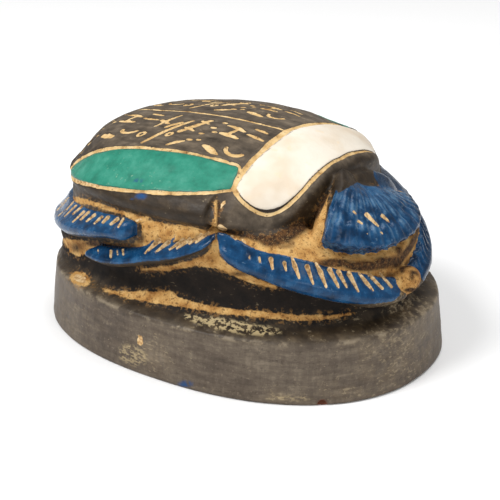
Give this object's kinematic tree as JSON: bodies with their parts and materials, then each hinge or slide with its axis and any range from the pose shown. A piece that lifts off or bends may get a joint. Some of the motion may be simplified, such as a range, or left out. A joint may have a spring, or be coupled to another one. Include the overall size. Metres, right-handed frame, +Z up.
{
  "type": "scarab figurine",
  "caption": "Painted beetle carved in one piece with an oval plinth, with notched legs, ribbed head fan, thorax shield and domed wing cases; stands on its flat underside.",
  "frame": {"origin": "middle of the flat underside of the plinth", "axes": "+X towards the beetle's head along the oval's long axis, +Y to the beetle's left, +Z up"},
  "size_m": [0.12, 0.0886, 0.0617],
  "materials": {
    "painted stone": "worn hand-painted black over sand-coloured stone, with teal, white and glossy blue panels"
  },
  "bodies": {
    "root": {"scarab": "painted stone"}
  },
  "joints": []
}
